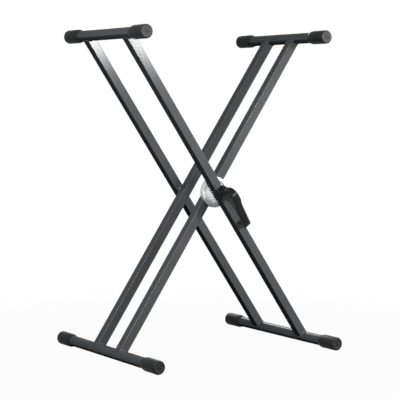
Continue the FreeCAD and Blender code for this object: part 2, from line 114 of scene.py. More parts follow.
def new_group(name, inputs, outputs):
    """An empty shader node group with named float inputs and their defaults, and named float outputs."""
    tree = bpy.data.node_groups.new(name, "ShaderNodeTree")
    for label, default in inputs.items():
        tree.interface.new_socket(label, in_out="INPUT", socket_type="NodeSocketFloat").default_value = default
    for label in outputs:
        tree.interface.new_socket(label, in_out="OUTPUT", socket_type="NodeSocketFloat")
    return tree, tree.nodes.new("NodeGroupInput").outputs, tree.nodes.new("NodeGroupOutput").inputs


def noise(tree, scale, detail, roughness=0.5):
    """The value of a noise on the piece's own coordinates."""
    place = add_node(tree, "ShaderNodeTexCoord").outputs["Object"]
    inputs = {"Vector": place, "Scale": scale, "Detail": detail, "Roughness": roughness}
    return add_node(tree, "ShaderNodeTexNoise", None, inputs).outputs["Fac"]


def facing(tree):
    """The X, Y and Z of the surface's normal."""
    normal = add_node(tree, "ShaderNodeNewGeometry").outputs["Normal"]
    return add_node(tree, "ShaderNodeSeparateXYZ", None, {"Vector": normal}).outputs


def laid_over(tree, mask, weight, colour, over):
    """A colour with another laid over it where a mask and a weight say."""
    return mix_colour(tree, math_node(tree, "MULTIPLY", mask, weight), colour, over)


# Surface effects that several finishes share

def grain_group():
    """Fine grain of a sprayed, moulded or cast skin, with a slow mottle over it."""
    tree, given, result = new_group("Skin grain", {"Grain": 900.0, "Mottle": 14.0}, ["Height", "Mottle"])
    tree.links.new(noise(tree, given["Grain"], 2.0), result["Height"])
    slow = noise(tree, given["Mottle"], 4.0, 0.62)
    tree.links.new(ramp(tree, slow, 0.3, 0.7), result["Mottle"])
    return tree


def edge_group():
    """Rubbed edges: where a rounded normal leaves the surface's own, broken up by noise."""
    tree, given, result = new_group("Rubbed edge", {"Radius": 0.0015, "Break": 60.0}, ["Edge"])
    round_normal = add_node(tree, "ShaderNodeBevel", {"samples": 6}, {"Radius": given["Radius"]}).outputs["Normal"]
    flat_normal = add_node(tree, "ShaderNodeNewGeometry").outputs["Normal"]
    agree = add_node(tree, "ShaderNodeVectorMath", {"operation": "DOT_PRODUCT"}, {0: round_normal, 1: flat_normal})
    bend = ramp(tree, agree.outputs["Value"], 0.999, 0.93)
    worn = ramp(tree, noise(tree, given["Break"], 5.0, 0.7), 0.35, 0.7)
    tree.links.new(math_node(tree, "MULTIPLY", bend, worn), result["Edge"])
    return tree


def dust_group():
    """Dust that settles on what faces up, in soft patches."""
    tree, given, result = new_group("Dust", {"Amount": 0.2, "Patch": 25.0}, ["Dust"])
    settled = ramp(tree, facing(tree)["Z"], 0.2, 0.95)
    patches = ramp(tree, noise(tree, given["Patch"], 6.0, 0.65), 0.35, 0.75)
    share = math_node(tree, "MULTIPLY", settled, patches)
    tree.links.new(math_node(tree, "MULTIPLY", share, given["Amount"]), result["Dust"])
    return tree


def underside_shade_group():
    """A mask of undersides for painted shade: 1 on what faces the floor, 0 on what faces aside or up."""
    tree, given, result = new_group("Underside shade", {"Start": -0.12, "Full": -0.5}, ["Underside shade"])
    tree.links.new(ramp(tree, facing(tree)["Z"], given["Start"], given["Full"]), result["Underside shade"])
    return tree


def end_scuff_and_light_group():
    """Ends made paler, partly scuffs and partly painted light: 1 on what faces along the bars, in soft patches, and
    more the higher they stand, which brightens the top caps' ends over the foot caps'.
    """
    tree, given, result = new_group("Scuffed and lit end", {"Patch": 180.0, "Full height": 0.6}, ["End"])
    ends = ramp(tree, math_node(tree, "ABSOLUTE", facing(tree)["Y"]), 0.8, 0.97)
    patches = ramp(tree, noise(tree, given["Patch"], 4.0, 0.6), 0.25, 0.6, 0.45, 1.0)
    place = add_node(tree, "ShaderNodeTexCoord").outputs["Object"]
    height = add_node(tree, "ShaderNodeSeparateXYZ", None, {"Vector": place}).outputs["Z"]
    # Painted light: paler with height, from a quarter near the feet to full at the top.
    share = math_node(tree, "MULTIPLY", ends, ramp(tree, height, 0.1, given["Full height"], 0.25, 1.0))
    tree.links.new(math_node(tree, "MULTIPLY", share, patches), result["End"])
    return tree


def corner_highlight_group():
    """A mask for a painted highlight on the square tubes' rounded corners that face up: 1 halfway between a side and
    the front or back, else 0.
    """
    tree, given, result = new_group("Upper corner highlight", {"Start": 0.35, "Full": 0.9}, ["Corner"])
    parts = facing(tree)
    square = math_node(tree, "MULTIPLY", parts["Y"], parts["Y"])
    turned = math_node(tree, "MULTIPLY", square, math_node(tree, "SUBTRACT", 1.0, square))
    bend = ramp(tree, math_node(tree, "MULTIPLY", turned, 4.0), given["Start"], given["Full"])
    tree.links.new(math_node(tree, "MULTIPLY", bend, ramp(tree, parts["Z"], 0.0, 0.25)), result["Corner"])
    return tree


def effect(tree, name, **values):
    """A placed copy of a shared effect, with its own values."""
    builders = {"Skin grain": grain_group, "Rubbed edge": edge_group, "Dust": dust_group,
                "Underside shade": underside_shade_group, "Scuffed and lit end": end_scuff_and_light_group, "Upper corner highlight": corner_highlight_group}
    group = bpy.data.node_groups.get(name) or builders[name]()
    return add_node(tree, "ShaderNodeGroup", {"node_tree": group}, values).outputs


# Sizes and finishes

class StandSizes(bpy.types.PropertyGroup):
    """Sizes of the pieces that are drawn finer than in the CAD model."""
    leg_side: bpy.props.FloatProperty(
        name="Leg", description="Side of the square tube", subtype="DISTANCE", unit="LENGTH",
        default=extent("outer_leg_front").y)
    bar_d: bpy.props.FloatProperty(
        name="Bar", description="Diameter of the round tube", subtype="DISTANCE", unit="LENGTH",
        default=extent("outer_top_bar").z)
    bead: bpy.props.FloatProperty(
        name="Weld bead", description="Radius of the weld beads", subtype="DISTANCE", unit="LENGTH", default=0.0021)
    bead_ripples: bpy.props.IntProperty(
        name="Weld ripples", description="Ripples in one weld bead", min=8, default=48)
    cap_d: bpy.props.FloatProperty(
        name="Cap", description="Diameter of the rubber caps", subtype="DISTANCE", unit="LENGTH",
        default=extent("outer_top_cap_front").z)
    cap_length: bpy.props.FloatProperty(
        name="Cap length", description="Length of the rubber caps", subtype="DISTANCE", unit="LENGTH",
        default=extent("outer_top_cap_front").y)
    cap_spokes: bpy.props.IntProperty(
        name="Cap spokes", description="Moulded spokes in a cap's end", min=3, default=6)
    disc_d: bpy.props.FloatProperty(
        name="Disc", description="Diameter of the index disc", subtype="DISTANCE", unit="LENGTH",
        default=extent("index_disc").x)
    disc_bore: bpy.props.FloatProperty(
        name="Disc bore", description="Bore of the disc for the pivot bolt", subtype="DISTANCE", unit="LENGTH",
        default=0.0082)
    disc_teeth: bpy.props.IntProperty(
        name="Disc teeth", description="Radial teeth of the index disc", min=8, default=30)
    tooth_start: bpy.props.FloatProperty(
        name="Teeth from", description="Radius at which the teeth start", subtype="DISTANCE", unit="LENGTH",
        default=0.0085)
    tooth_end: bpy.props.FloatProperty(
        name="Teeth to", description="Radius at which the teeth end", subtype="DISTANCE", unit="LENGTH", default=0.033)
    rim_rise: bpy.props.FloatProperty(
        name="Rim", description="Rise of the disc's rim over its toothed web", subtype="DISTANCE", unit="LENGTH",
        default=0.0044)
    hex_across: bpy.props.FloatProperty(
        name="Hexagon", description="Across the flats of the bolt heads", subtype="DISTANCE", unit="LENGTH",
        default=0.013)
    hex_height: bpy.props.FloatProperty(
        name="Bolt head", description="Height of the bolt heads", subtype="DISTANCE", unit="LENGTH", default=0.0055)
    bolt_d: bpy.props.FloatProperty(
        name="Bolt", description="Diameter of the pivot bolts", subtype="DISTANCE", unit="LENGTH", default=0.008)
    bolt_pitch: bpy.props.FloatProperty(
        name="Thread", description="Pitch of the bolts' thread", subtype="DISTANCE", unit="LENGTH", default=0.00125)
    label_length: bpy.props.FloatProperty(
        name="Label length", description="Length of the blank label", subtype="DISTANCE", unit="LENGTH", default=0.068)
    label_width: bpy.props.FloatProperty(
        name="Label width", description="Width of the blank label", subtype="DISTANCE", unit="LENGTH", default=0.018)
    label_rise: bpy.props.FloatProperty(
        name="Label place", description="From the pivot up the front inner leg to the label", subtype="DISTANCE",
        unit="LENGTH", default=0.292)


class StandFinish(bpy.types.PropertyGroup):
    """Colours and gloss of the stand."""
    paint: bpy.props.FloatVectorProperty(
        name="Paint", description="Charcoal powder coat of the tubes", subtype="COLOR", size=4, min=0, max=1,
        default=(0.042, 0.0425, 0.0435, 1))
    # Also the colour of the painted highlight on the tubes' upper rounded corners.
    paint_worn_and_highlight: bpy.props.FloatVectorProperty(
        name="Rubbed paint and highlight", description="Paint polished along the tubes' edges", subtype="COLOR", size=4, min=0, max=1,
        default=(0.115, 0.117, 0.121, 1))
    paint_gloss: bpy.props.FloatProperty(
        name="Paint gloss", description="Weight of the powder coat's glossy skin", subtype="FACTOR", min=0, max=1,
        default=0.2)
    paint_rough: bpy.props.FloatProperty(
        name="Skin roughness", description="Roughness of the powder coat's glossy skin", subtype="FACTOR", min=0, max=1,
        default=0.2)
    rubber: bpy.props.FloatVectorProperty(
        name="Rubber", description="Black rubber of the end caps", subtype="COLOR", size=4, min=0, max=1,
        default=(0.0105, 0.0103, 0.010, 1))
    # Also the colour of the paler cap ends, which are partly painted light.
    dust: bpy.props.FloatVectorProperty(
        name="Dust", description="Pale dust on rubber and plastic", subtype="COLOR", size=4, min=0, max=1,
        default=(0.085, 0.083, 0.08, 1))
    plastic: bpy.props.FloatVectorProperty(
        name="Plastic", description="Moulded black plastic of the trigger", subtype="COLOR", size=4, min=0, max=1,
        default=(0.004, 0.004, 0.0042, 1))
    aluminium: bpy.props.FloatVectorProperty(
        name="Aluminium", description="Cast metal of the index disc", subtype="COLOR", size=4, min=0, max=1,
        default=(0.93, 0.91, 0.88, 1))
    cast_skin: bpy.props.FloatVectorProperty(
        name="Cast skin", description="Unmachined metal of the disc's rim", subtype="COLOR", size=4, min=0, max=1,
        default=(0.40, 0.388, 0.37, 1))
    # Colour of painted shade: low on the disc, in its tooth roots and on its rim's down-facing walls.
    disc_shade_colour: bpy.props.FloatVectorProperty(
        name="Disc shade", description="Dull, greasy metal low on the disc", subtype="COLOR", size=4, min=0, max=1,
        default=(0.05, 0.05, 0.05, 1))
    steel: bpy.props.FloatVectorProperty(
        name="Plated steel", description="Zinc plating of the fasteners and the pawl", subtype="COLOR", size=4,
        min=0, max=1, default=(0.60, 0.60, 0.62, 1))
    nylon: bpy.props.FloatVectorProperty(
        name="Nylon", description="Natural nylon of the bearings", subtype="COLOR", size=4, min=0, max=1,
        default=(0.45, 0.435, 0.40, 1))
    label: bpy.props.FloatVectorProperty(
        name="Label", description="Blank label's ground", subtype="COLOR", size=4, min=0, max=1,
        default=(0.016, 0.016, 0.017, 1))
    label_line: bpy.props.FloatVectorProperty(
        name="Label line", description="Blank label's border line", subtype="COLOR", size=4, min=0, max=1,
        default=(0.03, 0.03, 0.031, 1))


class StandStage(bpy.types.PropertyGroup):
    """Camera and light of the studio."""
    target: bpy.props.FloatVectorProperty(
        name="Target", description="Point that the camera looks at", subtype="TRANSLATION", unit="LENGTH",
        default=(0.00483, -0.00339, PIVOT.z - 0.02877))
    distance: bpy.props.FloatProperty(
        name="Distance", description="From the camera to its target", subtype="DISTANCE", unit="LENGTH", default=3.901)
    turn: bpy.props.FloatProperty(
        name="Turn", description="Camera's turn to the stand's left", subtype="ANGLE", unit="ROTATION",
        default=math.radians(33.92))
    height: bpy.props.FloatProperty(
        name="Height", description="Camera's angle above the target", subtype="ANGLE", unit="ROTATION",
        default=math.radians(4.41))
    lens: bpy.props.FloatProperty(
        name="Lens", description="Focal length on a 36 mm sensor", unit="CAMERA", default=119.4)
    main: bpy.props.FloatProperty(
        name="Main light", description="Power of the small softbox in front", unit="POWER", default=20.0)
    side: bpy.props.FloatProperty(
        name="Side light", description="Power of the softbox on the right", unit="POWER", default=18.0)
    left: bpy.props.FloatProperty(
        name="Left light", description="Power of the weak softbox on the left", unit="POWER", default=18.0)
    high: bpy.props.FloatProperty(
        name="High light", description="Power of the high softbox on the left", unit="POWER", default=10.0)
    cool: bpy.props.FloatVectorProperty(
        name="Left colour", description="Colour of the softboxes on the left", subtype="COLOR", size=3, min=0, max=1,
        default=(0.80, 0.91, 1.0))
    front: bpy.props.FloatProperty(
        name="Front light", description="Power of the low softbox at the front left", unit="POWER", default=22.0)
    rear: bpy.props.FloatProperty(
        name="Rear light", description="Power of the softbox behind the stand", unit="POWER", default=26.0)
    ambient: bpy.props.FloatProperty(
        name="Ambient", description="Level of the studio's stray light", min=0, max=1, default=0.1)


def new_material(name):
    """A material with a plain Principled shader, and its tree and shader."""
    material = bpy.data.materials.new(name)
    material.use_nodes = True
    tree = material.node_tree
    tree.nodes.clear()
    shader = tree.nodes.new("ShaderNodeBsdfPrincipled")
    output = tree.nodes.new("ShaderNodeOutputMaterial")
    tree.links.new(shader.outputs["BSDF"], output.inputs["Surface"])
    return material, tree, shader


def feed(tree, shader, colour, roughness, height, depth, strength):
    """Wires a colour, a roughness and a bump of a real depth in metres into the shader."""
    tree.links.new(colour, shader.inputs["Base Color"])
    tree.links.new(roughness, shader.inputs["Roughness"])
    bump = add_node(tree, "ShaderNodeBump", None, {"Height": height, "Distance": depth, "Strength": strength})
    tree.links.new(bump.outputs["Normal"], shader.inputs["Normal"])


def scaled(colour, factor):
    """A colour made darker or paler."""
    return [factor * part for part in colour[:3]] + [1]


def powder_coat(look):
    """Charcoal powder coat: speckled glossy skin that thins on undersides, slow mottle, edges rubbed paler, a painted
    highlight on the upper rounded corners, and painted shade darkening the undersides.
    """
    material, tree, shader = new_material("charcoal_powder_coat")
    shader.inputs["Specular IOR Level"].default_value = 0.0
    shader.inputs["Coat Roughness"].default_value = look.paint_rough
    grain = effect(tree, "Skin grain", Grain=620.0, Mottle=9.0)
    edge = effect(tree, "Rubbed edge", Radius=0.0014, Break=45.0)["Edge"]
    underside_shade = effect(tree, "Underside shade")["Underside shade"]
    colour = mix_colour(tree, grain["Mottle"], scaled(look.paint, 0.86), look.paint)
    colour = laid_over(tree, edge, 0.5, colour, look.paint_worn_and_highlight)
    # Painted highlight: the upper rounded corners are made paler with the rubbed-paint colour.
    corner = effect(tree, "Upper corner highlight")["Corner"]
    colour = laid_over(tree, corner, 0.5, colour, look.paint_worn_and_highlight)
    # Painted shade: the undersides are darkened to 0.3 of the paint.
    colour = laid_over(tree, underside_shade, 0.85, colour, scaled(look.paint, 0.3))
    speckle = ramp(tree, grain["Height"], 0.3, 0.7, 0.85 * look.paint_gloss, 1.15 * look.paint_gloss)
    skin = math_node(tree, "MULTIPLY", speckle, math_node(tree, "SUBTRACT", 1.0, underside_shade))
    tree.links.new(skin, shader.inputs["Coat Weight"])
    rough = math_node(tree, "MULTIPLY_ADD", grain["Mottle"], 0.1, 0.45)
    feed(tree, shader, colour, rough, grain["Height"], 0.000012, 0.5)
    return material


def rubber(look):
    """Matt black rubber with a pebbled skin, a little dust on top, ends made paler (partly scuffs, partly painted
    light) and painted shade darkening the undersides.
    """
    material, tree, shader = new_material("black_rubber")
    shader.inputs["Specular IOR Level"].default_value = 0.07
    grain = effect(tree, "Skin grain", Grain=1500.0, Mottle=22.0)
    dust = effect(tree, "Dust", Amount=0.12, Patch=40.0)["Dust"]
    edge = effect(tree, "Rubbed edge", Radius=0.002, Break=90.0)["Edge"]
    colour = mix_colour(tree, grain["Mottle"], look.rubber, scaled(look.rubber, 1.5))
    colour = laid_over(tree, edge, 0.16, colour, look.dust)
    # Paler ends facing along the bars: partly scuffs, partly painted light that brightens the top caps' ends.
    end_scuff_and_light = effect(tree, "Scuffed and lit end")["End"]
    colour = laid_over(tree, end_scuff_and_light, 0.42, colour, look.dust)
    colour = mix_colour(tree, dust, colour, look.dust)
    # Painted shade: the undersides are darkened to 0.3 of the rubber.
    underside_shade = effect(tree, "Underside shade", Start=0.15, Full=-0.5)["Underside shade"]
    colour = laid_over(tree, underside_shade, 0.8, colour, scaled(look.rubber, 0.3))
    rough = math_node(tree, "MULTIPLY_ADD", grain["Mottle"], 0.12, 0.5)
    feed(tree, shader, colour, rough, grain["Height"], 0.00005, 0.4)
    return material


def moulded_plastic(look):
    """Satin black plastic with a fine spark-eroded texture."""
    material, tree, shader = new_material("black_plastic")
    shader.inputs["Specular IOR Level"].default_value = 0.07
    grain = effect(tree, "Skin grain", Grain=2400.0, Mottle=30.0)
    edge = effect(tree, "Rubbed edge", Radius=0.0015, Break=120.0)["Edge"]
    dust = effect(tree, "Dust", Amount=0.05, Patch=55.0)["Dust"]
    colour = mix_colour(tree, grain["Mottle"], look.plastic, scaled(look.plastic, 1.6))
    colour = laid_over(tree, edge, 0.1, colour, look.dust)
    colour = mix_colour(tree, dust, colour, look.dust)
    rough = math_node(tree, "MULTIPLY_ADD", grain["Mottle"], 0.08, 0.24)
    feed(tree, shader, colour, rough, grain["Height"], 0.00001, 0.35)
    return material


def cast_aluminium(look):
    """Cast metal: a matt grey rim and a bright machined face, with painted shade darker towards the bottom of the disc,
    in its tooth roots and on the rim's down-facing walls.
    """
    material, tree, shader = new_material("cast_aluminium")
    shader.inputs["Metallic"].default_value = 0.2
    grain = effect(tree, "Skin grain", Grain=1100.0, Mottle=45.0)
    underside_shade = effect(tree, "Underside shade", Start=-0.1, Full=-0.75)["Underside shade"]
    along = facing(tree)["Y"]
    skin = add_node(tree, "ShaderNodeAttribute", {"attribute_name": "skin"}).outputs["Fac"]
    wall = math_node(tree, "MAXIMUM", skin, ramp(tree, math_node(tree, "ABSOLUTE", along), 0.8, 0.5))
    colour = mix_colour(tree, grain["Mottle"], scaled(look.aluminium, 0.94), look.aluminium)
    colour = mix_colour(tree, wall, colour, look.cast_skin)
    # Painted shade read from the disc's attribute: darker towards the bottom of the disc and in its tooth roots.
    painted_shade = add_node(tree, "ShaderNodeAttribute", {"attribute_name": "painted_shade"}).outputs["Fac"]
    colour = laid_over(tree, painted_shade, 0.9, colour, look.disc_shade_colour)
    # Painted shade on the rim's down-facing walls.
    colour = laid_over(tree, underside_shade, wall, colour, look.disc_shade_colour)
    rough = math_node(tree, "MULTIPLY_ADD", wall, -0.05, 0.58)
    feed(tree, shader, colour, rough, grain["Height"], 0.000004, 0.5)
    return material


def plated_steel(look):
    """Zinc-plated steel with a faint spangle."""
    material, tree, shader = new_material("plated_steel")
    shader.inputs["Metallic"].default_value = 1.0
    grain = effect(tree, "Skin grain", Grain=1800.0, Mottle=120.0)
    edge = effect(tree, "Rubbed edge", Radius=0.0006, Break=200.0)["Edge"]
    colour = mix_colour(tree, grain["Mottle"], scaled(look.steel, 0.72), look.steel)
    colour = laid_over(tree, edge, 0.4, colour, look.aluminium)
    rough = math_node(tree, "MULTIPLY_ADD", grain["Mottle"], 0.16, 0.28)
    feed(tree, shader, colour, rough, grain["Height"], 0.00004, 0.3)
    return material


def nylon(look):
    """Natural nylon, slightly yellowed in patches."""
    material, tree, shader = new_material("natural_nylon")
    grain = effect(tree, "Skin grain", Grain=1600.0, Mottle=60.0)
    yellowed = [part * tint for part, tint in zip(look.nylon[:3], (0.95, 0.9, 0.78))] + [1]
    colour = mix_colour(tree, grain["Mottle"], look.nylon, yellowed)
    rough = math_node(tree, "MULTIPLY_ADD", grain["Mottle"], 0.1, 0.42)
    feed(tree, shader, colour, rough, grain["Height"], 0.00005, 0.3)
    return material


def blank_label(look):
    """Dark film with a border line that is a little paler, read from the label's own border attribute."""
    material, tree, shader = new_material("blank_label")
    shader.inputs["Specular IOR Level"].default_value = 0.2
    grain = effect(tree, "Skin grain", Grain=1900.0, Mottle=80.0)
    border = add_node(tree, "ShaderNodeAttribute", {"attribute_name": "border"}).outputs["Fac"]
    colour = mix_colour(tree, grain["Mottle"], scaled(look.label, 0.85), look.label)
    colour = mix_colour(tree, border, colour, look.label_line)
    rough = math_node(tree, "MULTIPLY_ADD", grain["Mottle"], 0.08, 0.3)
    feed(tree, shader, colour, rough, grain["Height"], 0.00002, 0.2)
    return material


# Surfaces

def grid_piece(name, points, closed_rows, material, body, nodes=()):
    """A piece from a grid of points, closed across its columns, and across its rows or with its end rows as poles.

    The faces are the grid's cells. Where the volume that they enclose comes out negative they are turned round."""
    rows, columns = points.shape[:2]
    index = np.arange(rows * columns).reshape(rows, columns)
    first = index if closed_rows else index[:-1]
    second = np.roll(index, -1, axis=0) if closed_rows else index[1:]
    cells = np.stack([first, np.roll(first, -1, axis=1), np.roll(second, -1, axis=1), second], axis=-1).reshape(-1, 4)
    flat = points.reshape(-1, 3)
    a, b, c, d = (flat[cells[:, i]] - flat.mean(axis=0) for i in range(4))
    volume = np.einsum("ij,ij->i", a, np.cross(b, c) + np.cross(c, d)).sum()
    if volume < 0:
        cells = cells[:, ::-1]
    mesh = bpy.data.meshes.new(name)
    mesh.from_pydata(flat.tolist(), [], cells.tolist())
    work = bmesh.new()
    work.from_mesh(mesh)
    bmesh.ops.remove_doubles(work, verts=work.verts, dist=1e-7)
    bmesh.ops.dissolve_degenerate(work, edges=work.edges, dist=1e-8)
    work.to_mesh(mesh)
    work.free()
    mesh.polygons.foreach_set("use_smooth", np.ones(len(mesh.polygons), dtype=bool))
    mesh.set_sharp_from_angle(angle=math.radians(38))
    mesh.materials.append(material)
    piece = bpy.data.objects.new(name, mesh)
    bpy.context.scene.collection.objects.link(piece)
    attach(piece, body)
    if nodes:
        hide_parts(*nodes)
    return piece


def joined(name, pieces, nodes):
    """Several pieces of one body made one, which stands for CAD nodes."""
    with bpy.context.temp_override(active_object=pieces[0], selected_editable_objects=pieces, selected_objects=pieces):
        bpy.ops.object.join()
    pieces[0].name = name
    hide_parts(*nodes)
    return pieces[0]


def bead_points(sizes, bar, leg_y):
    """A weld bead round a leg's foot on a bar: a circle of rippled radius along the leg's outline laid on the bar.

    The outline is a rounded square, x and y as signed powers of cosine and sine, lifted on to the bar by
    sqrt(R^2 - x^2). The radius is w (0.86 + 0.24 |sin(pi n t)|), so n scales overlap along the bead."""
    half = sizes.leg_side / 2
    radius = sizes.bar_d / 2
    along = (PIVOT - bar)
    along.y = 0
    along = np.array(along.normalized())
    across = np.array([along[2], 0.0, -along[0]])
    t = np.linspace(0, 1, 8 * sizes.bead_ripples, endpoint=False)
    turn = 2 * np.pi * t
    x = half * np.sign(np.cos(turn)) * np.abs(np.cos(turn)) ** 0.22
    y = half * np.sign(np.sin(turn)) * np.abs(np.sin(turn)) ** 0.22
    lift = np.sqrt(radius ** 2 - x ** 2)
    path = np.array([bar.x, 0, bar.z]) + x[:, None] * across + lift[:, None] * along
    path[:, 1] += leg_y + y
    step = np.cumsum(np.linalg.norm(np.roll(path, -1, axis=0) - path, axis=1))
    share = step / step[-1]
    tangent = np.roll(path, -1, axis=0) - np.roll(path, 1, axis=0)
    tangent /= np.linalg.norm(tangent, axis=1)[:, None]
    outward = x[:, None] * across + y[:, None] * np.array([0.0, 1.0, 0.0])
    outward -= (outward * tangent).sum(axis=1)[:, None] * tangent
    outward /= np.linalg.norm(outward, axis=1)[:, None]
    normal = np.cross(tangent, outward)
    ripple = sizes.bead * (0.86 + 0.24 * np.abs(np.sin(np.pi * sizes.bead_ripples * share)))
    ripple *= 1 + 0.08 * np.sin(2 * np.pi * (3 * share + leg_y * 40))
    ring = np.linspace(0, 2 * np.pi, 12, endpoint=False)
    spread = np.cos(ring)[None, :, None] * outward[:, None] + np.sin(ring)[None, :, None] * normal[:, None]
    return path[:, None] + ripple[:, None, None] * spread


def turned_points(profile, radius_of, centre, side, steps=96):
    """A turned piece about a line along Y: rows of (radius, depth) as given, each changed by a function of its row
    and of the angle, so that P = centre + r(row, a) (cos a, 0, sin a) + depth(row, a) side Y."""
    angle = np.linspace(0, 2 * np.pi, steps, endpoint=False)
    radius, depth = radius_of(profile[:, 0][:, None], profile[:, 1][:, None], angle[None, :])
    points = np.stack([radius * np.cos(angle), side * depth + 0 * radius, radius * np.sin(angle)], axis=-1)
    return np.array(centre) + points


def cap_points(sizes, bar, end_y, side):
    """A rubber cap: end face, rounded shoulder, barrel, tapered mouth and bore, turned about the bar.

    The end face has a ring dished by 0.9 mm between a hub and the rim, in which the depth is eased back to the face
    at each spoke by a power of |cos(n a / 2)|."""
    outer = sizes.cap_d / 2
    bore = sizes.bar_d / 2
    shoulder = 0.0045
    taper = 0.012
    face = np.stack([np.array([0, 0.9, 1.3, 2.4, 2.9, 3.4, 3.9, 6.0, 8.5, 11.0, 11.7, 12.3, 13.0]) / 1000,
                     np.array([1.0, 1.0, 0.9, 0, 0, 0.25, 0.9, 0.9, 0.9, 0.9, 0.6, 0.12, 0]) / 1000], axis=-1)
    arc = np.linspace(0, np.pi / 2, 9)
    corner = np.stack([outer - shoulder * (1 - np.sin(arc)), shoulder * (1 - np.cos(arc))], axis=-1)
    length = sizes.cap_length
    floor = 0.005
    inside = bore + 0.00005
    mouth = np.array([[outer, length - taper - 0.001], [outer - 0.0002, length - taper],
                      [bore + 0.0014, length - 0.0006], [bore + 0.0007, length],
                      [inside, length - 0.0004], [inside, floor], [0, floor]])
    profile = np.concatenate([face, corner, mouth])

    def relief(radius, depth, angle):
        dished = (radius > 0.0031) & (radius < 0.0128) & (depth < 0.002)
        spoke = np.abs(np.cos(sizes.cap_spokes * angle / 2)) ** 14
        return radius + 0 * angle, np.where(dished, depth * (1 - 0.9 * spoke), depth + 0 * angle)

    return turned_points(profile, relief, (bar.x, end_y, bar.z), -side)


def disc_points(sizes, front_y, back_y):
    """The index disc: hub, toothed web, raised rim, wall, hollow back and pad, turned about the pivot as one loop.

    Between the hub and the rim the web's depth is lifted by 0.045 s^2 p (1 + cos(n a)), where p is the pitch 2 pi r / n
    and s runs from 0 at the hub to 1 at the rim, so that the teeth grow with the radius as a face gear's do."""
    rim = sizes.disc_d / 2
    inner = sizes.tooth_end
    thick = back_y - front_y
    bore = sizes.disc_bore / 2
    hub = 0.0075
    bevel = 0.0003
    web = 0.0072
    web_back = web + 0.0036
    crest = web - sizes.rim_rise
    pad = 0.021
    root = np.linspace(sizes.tooth_start, inner, 12)
    front = np.array([[bore, 0], [hub - bevel, 0], [hub, bevel], [hub, web - bevel], [hub + bevel, web]])
    web_rows = np.stack([root, np.full(len(root), web)], axis=-1)
    arc = np.linspace(0, np.pi / 2, 6)
    edge = 0.0016
    back_edge = 0.0012
    hollow_r = rim - 0.004
    lip = np.array([[inner + 0.0006, web], [inner + 0.0011, web - 0.0006], [inner + 0.0014, crest + 0.0008],
                    [inner + 0.0021, crest]])
    nose = np.stack([rim - edge * (1 - np.sin(arc)), crest + edge * (1 - np.cos(arc))], axis=-1)
    back = thick - 0.0028
    heel = np.stack([rim - back_edge * (1 - np.cos(arc)), back - back_edge * (1 - np.sin(arc))], axis=-1)
    hollow = np.array([[hollow_r, back], [hollow_r, web_back], [pad, web_back], [pad, thick], [bore, thick]])
    profile = np.concatenate([front, web_rows, lip, nose, heel, hollow])

    def teeth(radius, depth, angle):
        toothed = (radius > sizes.tooth_start + 1e-6) & (radius < inner - 1e-6) & (np.abs(depth - web) < 1e-9)
        share = ((radius - sizes.tooth_start) / (inner - sizes.tooth_start)) ** 2
        lift = 0.045 * share * 2 * np.pi * radius / sizes.disc_teeth * (1 + np.cos(sizes.disc_teeth * angle))
        return radius + 0 * angle, depth - np.where(toothed, lift, 0)

    return turned_points(profile, teeth, (PIVOT.x, front_y, PIVOT.z), 1, 8 * sizes.disc_teeth)


def bolt_points(sizes, head_y, tip_y, side):
    """A hexagon bolt: chamfered head and threaded shank, turned about the pivot.

    The head's radius is the lesser of the hexagon's, a / cos(a mod 60 - 30), and a cone's; the shank's is cut back by
    a triangle wave of depth over pitch plus a / 2 pi, which winds the thread."""
    flat = sizes.hex_across / 2
    shank = sizes.bolt_d / 2
    length = abs(tip_y - head_y)
    top = np.stack([np.array([0, 0.9, 0.96, 1.0, 1.05, 1.1, 1.16, 1.16]) * flat,
                    np.array([0, 0, 0.0, 0.03, 0.09, 0.15, 0.22, 1.0]) * sizes.hex_height], axis=-1)
    runs = np.arange(sizes.hex_height, length - sizes.bolt_pitch, sizes.bolt_pitch / 6)
    stem = np.stack([np.full(len(runs), shank), runs], axis=-1)
    tip = np.array([[shank * 0.8, length], [0, length]])
    profile = np.concatenate([top, stem, tip])

    def cut(radius, depth, angle):
        hexagon = flat / np.cos((angle + np.pi / 6) % (np.pi / 3) - np.pi / 6)
        head = np.minimum(radius, hexagon)
        wave = np.abs(2 * ((depth / sizes.bolt_pitch + angle / (2 * np.pi)) % 1) - 1)
        threaded = (depth > length * 0.55) & (depth < length - sizes.bolt_pitch)
        body = radius - np.where(threaded, 0.55 * sizes.bolt_pitch * wave, 0)
        return np.where(depth <= sizes.hex_height, np.where(radius > shank, head, radius), body), depth + 0 * angle

    return turned_points(profile, cut, (PIVOT.x, head_y, PIVOT.z), side)


def label_points(sizes, place, along, across, out):
    """A thin plate with rounded corners: a superellipse of exponent 8 scaled by rows, 0.15 mm thick."""
    angle = np.linspace(0, 2 * np.pi, 128, endpoint=False)
    x = np.sign(np.cos(angle)) * np.abs(np.cos(angle)) ** 0.25 * sizes.label_length / 2
    y = np.sign(np.sin(angle)) * np.abs(np.sin(angle)) ** 0.25 * sizes.label_width / 2
    inset = np.array([1e9, 0.00215, 0.0021, 0.0016, 0.00155, 0.0001, 0, 0, 1e9])
    rise = np.array([0.15, 0.15, 0.15, 0.15, 0.15, 0.15, 0.1, -0.1, -0.1]) / 1000
    scale_x = np.maximum(0, 1 - inset / (sizes.label_length / 2))
    scale_y = np.maximum(0, 1 - inset / (sizes.label_width / 2))
    spread = (scale_x[:, None] * x)[..., None] * along + (scale_y[:, None] * y)[..., None] * across
    return place + spread + rise[:, None, None] * out


def places_of(piece):
    """The piece's vertices as rows of x, y, z."""
    flat = np.empty(3 * len(piece.data.vertices))
    piece.data.vertices.foreach_get("co", flat)
    return flat.reshape(-1, 3)


def note(piece, name, values):
    """Writes one value per vertex as an attribute that the piece's finish reads."""
    piece.data.attributes.new(name, "FLOAT", "POINT").data.foreach_set("value", np.asarray(values, dtype=float))


